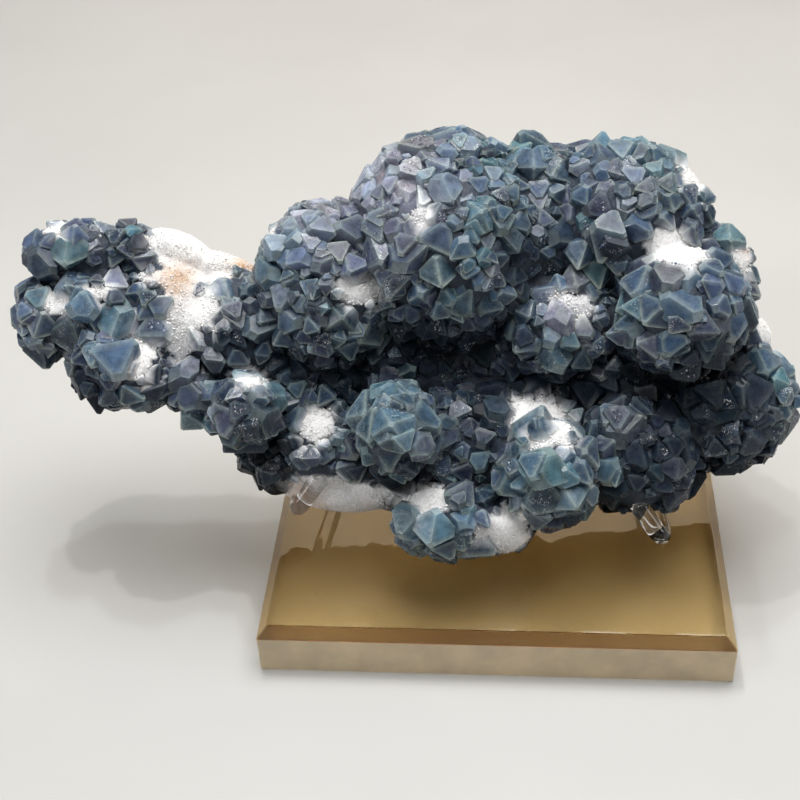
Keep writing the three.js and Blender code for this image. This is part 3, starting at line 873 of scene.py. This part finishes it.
def addTwins(centres, normals, radii, turns, rng):
    # smaller crystals grown on the large ones in nearly the same direction: the offset is a random
    # point of the unit octahedron's surface, turned and times its reach, less a share of its part
    # along the normal
    lists = [(centres, radii, turns)]
    leastSize, sizeSpread = growth["twinSize"]
    mostReach, reachFall = growth["twinReach"]
    for _ in range(growth["twins"]):
        chosen = rng.random(len(centres)) < growth["twinShare"]
        count = int(chosen.sum())
        share = leastSize + sizeSpread * rng.random(count)
        toSide = rng.normal(size=(count, 3))
        toSide /= np.abs(toSide).sum(axis=1, keepdims=True)
        reach = (mostReach - reachFall * share)[:, None] * radii[chosen][:, None]
        offset = np.einsum("ni,nij->nj", toSide, turns[chosen]) * reach
        lift = (offset * normals[chosen]).sum(axis=1, keepdims=True) * normals[chosen]
        flat = offset - lift * growth["twinFlat"]
        tilt = turns[chosen] + growth["twinTilt"] * rng.normal(size=(count, 3, 3))
        c = unit(tilt[:, 2])
        a = unit(tilt[:, 0] - (tilt[:, 0] * c).sum(axis=1, keepdims=True) * c)
        twin = np.stack([a, np.cross(c, a), c], axis=1)
        lists.append((centres[chosen] + flat, radii[chosen] * share, twin))
    return [np.concatenate(x) for x in zip(*lists)]


def crystalColours(centres, rng):
    # a mix of slate, indigo and deep blue by chance, drawn to teal and lilac in their zones,
    # and darkened as painted shade in the shade zones and where a lump overhangs
    paint = {key: linear(code) for key, code in crystalPaint.items()}
    mix = crystalMix
    chance = rng.random((len(centres), 4))
    drift = latticeNoise(centres, mix["driftSize"], mix["driftSeed"])
    caveShade = overhang(centres)[:, None]
    byChance, byDrift = mix["indigoWeights"]
    toIndigo = smoothStep(*mix["indigoFade"], byChance * chance[:, 0] + byDrift * drift)[:, None]
    colour = between(paint["slate"] * np.ones((len(centres), 1)), paint["indigo"], toIndigo)
    # painted shade: crystals in the shade zones are drawn to deep blue
    deep = zoneField(centres, paintedShadeZones)
    toDeep = np.maximum(mix["deepByChance"] * chance[:, 1] ** 2, mix["paintedShadeInZone"] * deep)[:, None]
    colour = between(colour, paint["deep"], toDeep)
    least, spread = mix["tealSpread"]
    limit, share = mix["strayTeal"]
    toTeal = np.clip(zoneField(centres, tealZones) * (least + spread * chance[:, 2]), 0, 1)
    toTeal = np.maximum(toTeal, (chance[:, 2] > limit) * share * (1 - deep))[:, None]
    colour = between(colour, paint["teal"], toTeal)
    least, spread = mix["lilacSpread"]
    limit, share = mix["strayLilac"]
    toLilac = np.clip(zoneField(centres, lilacZones) * (least + spread * chance[:, 3]), 0, 1)
    toLilac = np.maximum(toLilac, (chance[:, 3] > limit) * share)[:, None]
    colour = between(colour, paint["lilac"], toLilac)
    hue = 1 + (rng.random((len(centres), 3)) - 0.5) * mix["hueSpread"]
    least, spread = mix["brightSpread"]
    bright = least + spread * rng.random((len(centres), 1))
    # painted shade: darker where a lump overhangs
    return colour * hue * bright * (1 - paintedCaveShade["dark"] * caveShade)


def crystalPiece(name, centres, radii, turns, colours, frost, rng):
    # point = centre + radius (x a + y b + z c) for each corner x, y, z of the blunt octahedron, made
    # a little flatter along its face 1 1 1; each tip is cut off by its own amount. Points of the crystal
    # are milky where it is rooted near a white patch; the rim is weaker on dark crystals, which include
    # those darkened as painted shade, and brighter below, as painted light.
    # Also gives the inner corners of each crystal's face 1 1 1
    base, toward, tipOf, tris, quads, rim = octahedron()
    count, corners = len(centres), len(base)
    low, high = growth["tipCut"]
    cut = low + (high - low) * rng.random((count, 6)) ** growth["cutPower"]
    shape = base + cut[:, tipOf, None] * toward
    stretch = 1 + growth["squash"] * (rng.random((count, 1, 3)) - 0.5) * 2
    plate = growth["plate"] * rng.random((count, 1, 1))
    scaled = shape * stretch
    scaled = (scaled - plate * scaled.mean(axis=2, keepdims=True)) * radii[:, None, None]
    points = centres[:, None, :] + np.einsum("nki,nij->nkj", scaled, turns)
    points = points.reshape(-1, 3)
    start = (np.arange(count) * corners)[:, None, None]
    tris = (tris[None] + start).reshape(-1, 3)
    quads = (quads[None] + start).reshape(-1, 4)
    points, _ = offRods(points, rods["radius"] + rods["fitGap"])
    rooted = 1 - smoothStep(*crystalMix["milkFade"], lumpLevels(points).min(axis=1))
    milk = (patchField(points, grow=crystalMix["milkGrow"]) * rooted)[:, None]
    tint = between(np.repeat(colours, corners, axis=0), linear(crystalPaint["milk"]), milk)
    # painted light: the rim is made brighter towards the crystal's lower side, as if light came through to
    # its lower edges
    below = -((points - np.repeat(centres, corners, axis=0)) @ seatAxes)[:, 2] / np.repeat(radii, corners)
    least, spread = crystalMix["undersideLight"]
    lit = least + spread * smoothStep(*crystalMix["undersideFade"], below)
    # the rim and gloss are weaker on dark crystals, among them those darkened as painted shade
    bright = smoothStep(*crystalMix["darkFade"], colours.mean(axis=1))
    rimOfDark, glossOfDark = (least + spread * bright for least, spread in
                              (crystalMix["rimSpread"], crystalMix["glossSpread"]))
    floats = {
        "rim": (rim * (1 - cut[:, tipOf])).ravel() * lit * np.repeat(rimOfDark, corners),
        "frost": np.repeat(frost, corners),
        "gloss": np.repeat(glossOfDark, corners),
    }
    faceCorners = points.reshape(count, corners, 3)[:, tipCorners:tipCorners + 3]
    return makeMesh(name, onStand(points), [tris, quads], floats, {"tint": tint}), faceCorners


def fillCrystals(taken, takenRadii, rng):
    # small crystals on what the large ones leave free
    places, normals, owners = shuffledPlaces(growth["fillStep"], rng)
    white = patchField(places) * (normals[:, 2] > 0)
    low, high = growth["fillSize"]
    radii = low + (high - low) * rng.random(len(places)) ** growth["fillPower"]
    free = (white < growth["fillWhiteLimit"]) & (lumpTip[owners] > 0)
    free &= clearOfRods(places, radii, growth["rodGap"]) & ~beforeTips(places, radii)
    places, normals, radii = places[free], normals[free], radii[free]
    kept = spreadOut(places, radii, growth["fillSpacing"], taken, takenRadii)
    places, normals, radii = places[kept], normals[kept], radii[kept]
    return places, radii, crystalTurns(normals, rng)


def grainPiece(name, places, radii, turns, tint):
    # plain octahedra: point = place + radius (x a + y b + z c) for each tip x, y, z; a face joins one
    # tip of each of the three pairs
    tips = np.concatenate([np.eye(3), -np.eye(3)])
    points = places[:, None, :] + np.einsum("ki,nij->nkj", tips, turns) * radii[:, None, None]
    pairs = np.array(list(itertools.product((0, 1), repeat=3)))
    faces = outward(tips, pairs * 3 + np.arange(3))
    faces = (faces[None] + (np.arange(len(places)) * len(tips))[:, None, None]).reshape(-1, 3)
    tint = np.repeat(tint, len(tips), axis=0)
    return makeMesh(name, onStand(points.reshape(-1, 3)), [faces], colours={"tint": tint})


def frostPiece(name, faces, hostRadii, hostTurns, hostColours, rng):
    # grains on one face of some crystals: place = p + w1 (a - p) + w2 (b - p) + w3 (c - p), where
    # a b c are the face's inner corners, p their middle and the three weights random
    chosen = np.flatnonzero(rng.random(len(faces)) < grains["share"])
    host = np.repeat(chosen, grains["each"])
    face = faces[host]
    middle = face.mean(axis=1, keepdims=True)
    weights = grains["spread"] * rng.dirichlet((grains["cluster"],) * 3, len(host))
    places = middle[:, 0] + ((face - middle) * weights[:, :, None]).sum(axis=1)
    low, high = grains["radius"]
    radii = low + (high - low) * rng.random(len(host)) ** 2
    radii = radii * (hostRadii[host] / grains["crystalRadius"]) ** 0.5
    clear = clearOfRods(places, radii, grains["rodGap"])
    host, places, radii = host[clear], places[clear], radii[clear]
    milk = linear(crystalPaint["milk"]) * grains["milk"] * rng.random((len(host), 1)) ** 2
    return grainPiece(name, places, radii, hostTurns[host], hostColours[host] + milk)


# Sugar: tiny white crystals crowded on the bare patches
sugar = {
    "seed": 8,
    "step": 0.72, "radius": (0.22, 0.5), "sink": 0.18, "scatter": 0.15,
    "aboveBack": 0.2, "whiteLimit": 0.3,
    "bright": (0.82, 0.13), "stain": 0.6,   # least brightness and what chance adds, and most stain
}


def sugarPiece(name):
    # grains at the Fibonacci points inside the patches and on the bare lumps, sunk a little, scattered
    # and turned at random
    rng = np.random.default_rng(sugar["seed"])
    places, normals, owners = surfacePlaces(sugar["step"], growth["buried"], sugar["aboveBack"])
    white = patchField(places) * (normals[:, 2] > rock["whiteFacing"])
    low, high = sugar["radius"]
    chosen = (white > sugar["whiteLimit"]) | (lumpTip[owners] == 0)
    chosen &= clearOfRods(places, high, growth["rodGap"])
    places, normals = places[chosen], normals[chosen]
    count = len(places)
    radii = low + (high - low) * rng.random(count) ** 2
    turns = crystalTurns(rng.normal(size=(count, 3)) + normals, rng)
    places = places - sugar["sink"] * normals + sugar["scatter"] * rng.normal(size=(count, 3))
    least, spread = sugar["bright"]
    tint = linear(rockPaint["white"]) * (least + spread * rng.random((count, 1)))
    rust = zoneField(places, stains)[:, None] * sugar["stain"] * rng.random((count, 1))
    return grainPiece(name, places, radii, turns, between(tint, linear(rockPaint["stain"]), rust))


# Finishes
finish = {
    "fluoriteIor": 1.434, "crystalRough": (0.16, 0.48),
    "rimColour": "d6d6c8", "rimShare": 0.85, "rimPower": 4.0,       # pale line on the very edge: partly a frosted edge, partly a painted highlight
    "glowColour": "9caba3", "glowShare": 0.95, "glowPower": 1.35,   # wide glow inside it: partly paler zoning, partly painted light through the thin edge
    # frost: partly white frosting, partly painted glints
    "frostColour": (0.86, 0.88, 0.91), "frostShare": 0.9,
    "grainRough": 0.6, "grainGloss": 0.2,
    "amberGlow": (1.0, 0.71, 0.0), "amberDensity": 36,
    "satinRough": 0.32, "polishRough": 0.02, "clearRough": 0.015,
    "sawnColour": "e8d6b4", "sawnClear": 0.4,
    "acrylicIor": 1.49,
}


class Nodes:
    # short hand for building a node tree
    def __init__(self, name):
        self.material = bpy.data.materials.new(name)
        self.material.use_nodes = True
        self.tree = self.material.node_tree
        self.tree.nodes.clear()
        self.output = self.tree.nodes.new("ShaderNodeOutputMaterial")
        self.shader = self.tree.nodes.new("ShaderNodeBsdfPrincipled")
        self.tree.links.new(self.shader.outputs[0], self.output.inputs["Surface"])
        self.place = self.tree.nodes.new("ShaderNodeTexCoord").outputs["Object"]

    def link(self, source, target):
        self.tree.links.new(source, target)

    def attribute(self, name, output="Fac"):
        node = self.tree.nodes.new("ShaderNodeAttribute")
        node.attribute_name = name
        return node.outputs[output]

    def noise(self, scale, detail=3.0, roughness=0.55):
        node = self.tree.nodes.new("ShaderNodeTexNoise")
        node.inputs["Scale"].default_value = scale
        node.inputs["Detail"].default_value = detail
        node.inputs["Roughness"].default_value = roughness
        self.link(self.place, node.inputs["Vector"])
        return node.outputs["Fac"]

    def math(self, operation, a, b=0.0):
        node = self.tree.nodes.new("ShaderNodeMath")
        node.operation = operation
        for socket, value in zip(node.inputs, (a, b)):
            if isinstance(value, bpy.types.NodeSocket):
                self.link(value, socket)
            else:
                socket.default_value = value
        return node.outputs[0]

    def ramp(self, value, low, high, outLow=0.0, outHigh=1.0):
        node = self.tree.nodes.new("ShaderNodeMapRange")
        node.interpolation_type = "SMOOTHSTEP"
        limits = {"From Min": low, "From Max": high, "To Min": outLow, "To Max": outHigh}
        for key, number in limits.items():
            node.inputs[key].default_value = number
        self.link(value, node.inputs["Value"])
        return node.outputs["Result"]

    def cloud(self, scale, detail, low, high):
        # noise whose middle values are spread from low to high
        return self.ramp(self.noise(scale, detail), 0.3, 0.7, low, high)

    def mix(self, factor, a, b, blend="MIX"):
        node = self.tree.nodes.new("ShaderNodeMix")
        node.data_type, node.blend_type = "RGBA", blend
        for socket, value in ((node.inputs[0], factor), (node.inputs[6], a), (node.inputs[7], b)):
            if isinstance(value, bpy.types.NodeSocket):
                self.link(value, socket)
            elif isinstance(value, (int, float)):
                socket.default_value = value
            else:
                socket.default_value = (*value, 1)
        return node.outputs[2]

    def bump(self, height, strength, distance, under=None):
        node = self.tree.nodes.new("ShaderNodeBump")
        node.inputs["Strength"].default_value = strength
        node.inputs["Distance"].default_value = distance
        self.link(height, node.inputs["Height"])
        if under is not None:
            self.link(under, node.inputs["Normal"])
        return node.outputs["Normal"]

    def set(self, **values):
        for key, value in values.items():
            socket = self.shader.inputs[key.replace("_", " ")]
            if isinstance(value, bpy.types.NodeSocket):
                self.link(value, socket)
            else:
                socket.default_value = value


def crystalMaterial():
    # the crystal's own tint, cloudy inside, fading to a pale rim at its edges, with frosted spots; rim and
    # spots are partly painted light
    n = Nodes("bluegrey_fluorite")
    cloud = n.cloud(260, 4, 0.68, 1.3)
    core = n.mix(1.0, n.attribute("tint", "Color"), cloud, "MULTIPLY")
    # the rim is partly the crystal's own paler, frosted edge and partly painted glow and highlight along
    # the thin edges
    rim = n.attribute("rim")
    patchy = n.cloud(420, 3, 0.5, 1.0)
    glow = n.math("MULTIPLY", n.math("POWER", rim, finish["glowPower"]), patchy)
    body = n.mix(n.math("MULTIPLY", glow, finish["glowShare"]), core, linear(finish["glowColour"]))
    broken = n.cloud(600, 2, 0.5, 1.0)
    edge = n.math("MULTIPLY", n.math("POWER", rim, finish["rimPower"]), broken)
    body = n.mix(n.math("MULTIPLY", edge, finish["rimShare"]), body, linear(finish["rimColour"]))
    # frosted specks: partly white frosting, partly painted glints
    speck = n.math("MULTIPLY", n.ramp(n.noise(3600, 2), 0.55, 0.66), n.ramp(n.noise(480, 2), 0.5, 0.62))
    frost = n.math("MULTIPLY", speck, n.attribute("frost"))
    body = n.mix(n.math("MULTIPLY", frost, finish["frostShare"]), body, finish["frostColour"])
    rough = n.cloud(700, 3, *finish["crystalRough"])
    waves = n.bump(n.noise(420, 3), 0.25, 0.0006)
    grain = n.bump(n.noise(2200, 2), 0.16, 0.0003, waves)
    n.set(Base_Color=body, Roughness=rough, Normal=grain, IOR=finish["fluoriteIor"],
          Specular_IOR_Level=n.attribute("gloss"), Subsurface_Weight=0.5, Subsurface_Scale=0.0028,
          Subsurface_Radius=(0.85, 1.0, 1.15))
    return n.material


def sugarMaterial():
    # opaque white grains: the light that gets about among them is left to bounce
    n = Nodes("white_sugar_grain")
    n.set(Base_Color=n.attribute("tint", "Color"), Roughness=finish["grainRough"],
          Specular_IOR_Level=finish["grainGloss"])
    return n.material


def rockMaterial():
    # the rock's painted tint with a sugary grain
    n = Nodes("white_druse")
    cloud = n.cloud(1500, 3, 0.86, 1.08)
    body = n.mix(1.0, n.attribute("tint", "Color"), cloud, "MULTIPLY")
    coarse = n.bump(n.noise(900, 4, 0.65), 0.5, 0.0009)
    grain = n.bump(n.noise(3200, 2), 0.35, 0.0003, coarse)
    n.set(Base_Color=body, Roughness=n.cloud(1900, 2, 0.45, 0.8), Normal=grain,
          Subsurface_Weight=0.6, Subsurface_Scale=0.003, Subsurface_Radius=(1.0, 0.97, 0.94))
    return n.material


def amberMaterial():
    # clear acrylic with a smoky amber body: light is absorbed on its way through; the top is polished
    # and what lies below it is satin, told apart by height
    n = Nodes("smoky_amber_acrylic")
    scuffs = n.bump(n.noise(35, 2), 0.02, 0.0005)
    apart = n.tree.nodes.new("ShaderNodeSeparateXYZ")
    n.link(n.place, apart.inputs[0])
    polishFrom = (slab["thickness"] - slab["edgeRound"]) * mm
    satin = n.ramp(apart.outputs["Z"], polishFrom, polishFrom + 0.2 * mm,
                   finish["satinRough"], finish["polishRough"])
    n.set(Base_Color=(1, 1, 1, 1), Roughness=satin, IOR=finish["acrylicIor"], Transmission_Weight=1.0,
          Normal=scuffs)
    volume = n.tree.nodes.new("ShaderNodeVolumeAbsorption")
    volume.inputs["Color"].default_value = (*finish["amberGlow"], 1)
    volume.inputs["Density"].default_value = finish["amberDensity"]
    n.link(volume.outputs[0], n.output.inputs["Volume"])
    return n.material


def hazeMaterial():
    # sawn acrylic: partly see-through, partly cloudy, with a soft blotch
    n = Nodes("sawn_acrylic")
    cloud = n.cloud(90, 4, 0.88, 1.12)
    n.set(Base_Color=n.mix(1.0, linear(finish["sawnColour"]), cloud, "MULTIPLY"),
          Roughness=n.cloud(300, 2, 0.3, 0.5), IOR=finish["acrylicIor"],
          Transmission_Weight=finish["sawnClear"])
    return n.material


def clearMaterial():
    # colourless polished acrylic
    n = Nodes("clear_acrylic")
    ripple = n.bump(n.noise(120, 2), 0.03, 0.0004)
    n.set(Base_Color=(1, 1, 1, 1), Roughness=finish["clearRough"], IOR=finish["acrylicIor"],
          Transmission_Weight=1.0, Normal=ripple)
    return n.material


# Studio
studio = {
    "lens": 63, "sensor": 36, "distance": 380,
    "floorSize": 4000, "floorDrop": 0.2, "floorColour": "b6b6b5",
    "sky": (0.88, 0.89, 0.92), "skyStrength": 0.2,
    "lights": {              # place in mm, size in mm, power in watts, colour
        "overhead": ((120, 90, 950), 820, 11.5, (1.0, 0.985, 0.96)),
        "ceilingSpot": ((-165, 125, 950), 24, 1.8, (1.0, 0.955, 0.93)),
        "rearSpot": ((-130, 250, 950), 40, 1.3, (0.93, 1.0, 0.96)),
        "backPanel": ((-20, 1220, 1190), 1200, 8.0, (1.0, 0.82, 0.58)),
        "leftGlint": ((-520, -420, 640), 90, 1.3, (0.95, 0.98, 1.0)),
        "leftStrip": ((-800, -150, 220), 360, 1.8, (1.0, 1.0, 1.0)),
        "rightStrip": ((800, -150, 220), 360, 1.2, (1.0, 1.0, 1.0)),
    },
    "exposure": -0.17,
}


def buildStudio():
    half, drop = studio["floorSize"] / 2, -studio["floorDrop"]
    points = np.array([(x * half, y * half, drop) for x, y in ((-1, -1), (1, -1), (1, 1), (-1, 1))])
    floor = makeMesh("studio_floor", points, [np.array([[0, 1, 2, 3]])])
    n = Nodes("studio_floor_paint")
    tone = n.cloud(6, 4, 0.96, 1.02)
    n.set(Base_Color=n.mix(1.0, linear(studio["floorColour"]), tone, "MULTIPLY"), Roughness=0.55)
    floor.data.materials.append(n.material)
    world = bpy.data.worlds.new("studio_sky")
    world.use_nodes = True
    sky = world.node_tree.nodes["Background"]
    sky.inputs["Color"].default_value = (*studio["sky"], 1)
    sky.inputs["Strength"].default_value = studio["skyStrength"]
    bpy.context.scene.world = world
    target = Vector(seat["centre"]) * mm
    for name, (place, side, power, colour) in studio["lights"].items():
        lamp = bpy.data.lights.new(name, "AREA")
        lamp.shape, lamp.size, lamp.energy, lamp.color = "DISK", side * mm, power, colour
        holder = bpy.data.objects.new(name, lamp)
        holder.location = Vector(place) * mm
        holder.rotation_euler = (target - holder.location).to_track_quat("-Z", "Y").to_euler()
        bpy.context.scene.collection.objects.link(holder)


def placeCamera():
    # straight out of the specimen's face, at the distance and angle of the photograph
    camera = bpy.data.cameras.new("camera")
    camera.lens, camera.sensor_width = studio["lens"], studio["sensor"]
    holder = bpy.data.objects.new("camera", camera)
    turn = Matrix([Vector(axis) for axis in seatAxes]).transposed().to_4x4()
    place = (seatCentre + studio["distance"] * seatAxes[2]) * mm
    holder.matrix_world = Matrix.Translation(Vector(place)) @ turn
    bpy.context.scene.collection.objects.link(holder)
    bpy.context.scene.camera = holder


# Making
placeCamera()
buildStudio()
print("studio ready")

handIn(slabPiece("smoky_slab"), "amber_acrylic", amberMaterial(), "acrylic_base")
handIn(hazePiece("sawn_edges"), "amber_acrylic", hazeMaterial(), "acrylic_base")
clear = clearMaterial()
for node, path in paths.items():
    handIn(rodPiece(node.replace("_rod", ""), path), "clear_acrylic", clear, node)

handIn(rockPiece("druse_matrix"), "fluorite", rockMaterial(), "fluorite_specimen")
sugarGrain = sugarMaterial()
handIn(sugarPiece("white_sugar"), "fluorite", sugarGrain, "fluorite_specimen")

fluorite = crystalMaterial()
rng = np.random.default_rng(growth["seed"])
mainCentres, mainNormals, mainRadii, mainTurns = growCrystals(rng)
print("grown", len(mainCentres), "crystals")
centres, radii, turns = addTwins(mainCentres, mainNormals, mainRadii, mainTurns, rng)
colours = crystalColours(centres, rng)
frost = (rng.random(len(centres)) < growth["frosted"]) * rng.random(len(centres))
left, right = centres[:, 0] < groupLines["left"], centres[:, 0] >= groupLines["right"]
top = centres[:, 1] > groupLines["top"]
groups = {
    "left_arm_crystals": left,
    "dome_crystals": ~left & ~right & top,
    "lower_crystals": ~left & ~right & ~top,
    "right_crystals": right,
}
faceCorners = np.zeros((len(centres), 3, 3))
for name, members in groups.items():
    piece, faceCorners[members] = crystalPiece(
        name, centres[members], radii[members], turns[members], colours[members], frost[members], rng)
    handIn(piece, "fluorite", fluorite, "fluorite_specimen")

places, smallRadii, smallTurns = fillCrystals(mainCentres, mainRadii, rng)
# painted shade on the small crystals in the gaps
smallColours = growth["fillPaintedShade"] * crystalColours(places, rng)
smallFrost = (rng.random(len(places)) < growth["fillFrosted"]) * 1.0
piece, _ = crystalPiece("small_crystals", places, smallRadii, smallTurns, smallColours, smallFrost, rng)
handIn(piece, "fluorite", fluorite, "fluorite_specimen")
piece = frostPiece("frost_grains", faceCorners, radii, turns, colours, rng)
handIn(piece, "fluorite", sugarGrain, "fluorite_specimen")

bpy.context.scene.view_settings.view_transform = "Standard"
bpy.context.scene.view_settings.exposure = studio["exposure"]
